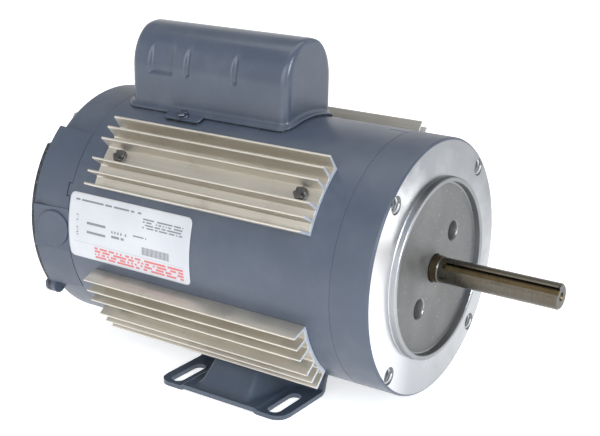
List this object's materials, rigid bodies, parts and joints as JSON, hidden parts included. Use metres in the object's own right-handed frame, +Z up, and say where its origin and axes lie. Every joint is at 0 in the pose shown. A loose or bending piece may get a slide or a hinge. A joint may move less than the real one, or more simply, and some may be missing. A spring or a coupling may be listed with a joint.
{
  "type": "electric motor",
  "caption": "Foot-mounted C-face capacitor-start electric motor with finned heat sinks on a round shell, a capacitor cover on top and a long keyed shaft.",
  "frame": {"origin": "centre of the four foot slots, on the plane the feet stand on", "axes": "-Y along the shaft towards the drive end, +Z up, -X is the side with the label and the conduit hole"},
  "size_m": [0.1802, 0.3465, 0.2201],
  "materials": {
    "body_paint": "satin blue-grey enamel",
    "cast_aluminium": "cast, machined on the face",
    "painted_casting": "satin blue-grey enamel on a casting",
    "gasket": "matt, fibrous",
    "zinc_steel": "zinc plated",
    "black_plastic": "moulded",
    "brass": "plain",
    "extruded_aluminium": "bare extrusion, slightly warm",
    "black_steel": "black oxide",
    "base_paint": "dark glossy blue-grey enamel",
    "label": "white film",
    "core_steel": "stacked laminations",
    "copper": "enamelled copper wire",
    "shaft_steel": "ground, lightly oiled",
    "bearing_steel": "ground",
    "phenolic": "moulded board",
    "green_screw": "green"
  },
  "bodies": {
    "housing": {"stator_shell": "body_paint", "drive_end_bell": "cast_aluminium", "rear_end_bell": "painted_casting", "terminal_cover": "body_paint", "terminal_cover_gasket": "gasket", "terminal_cover_screws": "zinc_steel", "conduit_hole_plug": "body_paint", "capacitor_cover": "body_paint", "capacitor_cover_gasket": "gasket", "capacitor_cover_screws": "zinc_steel", "start_capacitor": "black_plastic", "capacitor_terminals": "brass", "capacitor_clamp": "zinc_steel", "heat_sink_upper_left": "extruded_aluminium", "heat_sink_lower_left": "extruded_aluminium", "heat_sink_upper_right": "extruded_aluminium", "heat_sink_lower_right": "extruded_aluminium", "heat_sink_screws": "black_steel", "mounting_base": "base_paint", "through_bolts": "zinc_steel", "rating_label": "label", "stator_core": "core_steel", "stator_winding": "copper", "front_bearing_outer_race": "bearing_steel", "rear_bearing_outer_race": "bearing_steel", "wave_spring": "shaft_steel", "bearing_retainer": "cast_aluminium", "retainer_screws": "zinc_steel", "switch_board": "phenolic", "switch_board_screws": "zinc_steel", "switch_contact": "brass", "thermal_protector": "black_plastic", "terminal_board": "phenolic", "terminal_studs": "brass", "ground_screw": "green_screw"},
    "rotor": {"shaft": "shaft_steel", "rotor_core": "core_steel", "rotor_cage": "cast_aluminium", "front_bearing_inner_race": "bearing_steel", "rear_bearing_inner_race": "bearing_steel", "governor_hub": "zinc_steel", "governor_spring": "zinc_steel"},
    "front_ball_set": {"front_bearing_balls": "bearing_steel", "front_bearing_cage": "brass"},
    "rear_ball_set": {"rear_bearing_balls": "bearing_steel", "rear_bearing_cage": "brass"},
    "spool": {"governor_spool": "phenolic"},
    "weight_a": {"governor_weight_a": "zinc_steel"},
    "weight_b": {"governor_weight_b": "zinc_steel"},
    "switch_arm": {"switch_arm": "brass"}
  },
  "joints": [
    {"name": "rotor_spin", "type": "hinge", "parent": "housing", "child": "rotor", "pos_m": [0, 0, 0.0889], "axis": [0, -1, 0], "continuous": true},
    {"name": "front_ball_set_spin", "type": "hinge", "parent": "housing", "child": "front_ball_set", "pos_m": [0, -0.0879, 0.0889], "axis": [0, -1, 0], "continuous": true},
    {"name": "rear_ball_set_spin", "type": "hinge", "parent": "housing", "child": "rear_ball_set", "pos_m": [0, 0.1376, 0.0889], "axis": [0, -1, 0], "continuous": true},
    {"name": "governor_spool_slide", "type": "slide", "parent": "rotor", "child": "spool", "axis": [0, -1, 0], "range_m": [0, 0.0032], "stiffness_N_per_m": 400, "springref_m": -0.003, "deforming": ["governor_spring"]},
    {"name": "governor_weight_a_swing", "type": "hinge", "parent": "rotor", "child": "weight_a", "pos_m": [0, 0.092, 0.1129], "axis": [-1, 0, 0], "range_deg": [0, 20]},
    {"name": "governor_weight_b_swing", "type": "hinge", "parent": "rotor", "child": "weight_b", "pos_m": [0, 0.092, 0.0649], "axis": [1, 0, 0], "range_deg": [0, 20]},
    {"name": "switch_arm_swing", "type": "hinge", "parent": "housing", "child": "switch_arm", "pos_m": [0, 0.115, 0.1309], "axis": [-1, 0, 0], "range_deg": [0, 7.5]}
  ],
  "couplings": [
    {"joint": "front_ball_set_spin", "follows": "rotor_spin", "ratio": 0.3842},
    {"joint": "rear_ball_set_spin", "follows": "rotor_spin", "ratio": 0.3842},
    {"joint": "governor_weight_a_swing", "follows": "governor_spool_slide", "rad_per_m": 109.05},
    {"joint": "governor_weight_b_swing", "follows": "governor_spool_slide", "rad_per_m": 109.05},
    {"joint": "switch_arm_swing", "follows": "governor_spool_slide", "rad_per_m": 40}
  ]
}
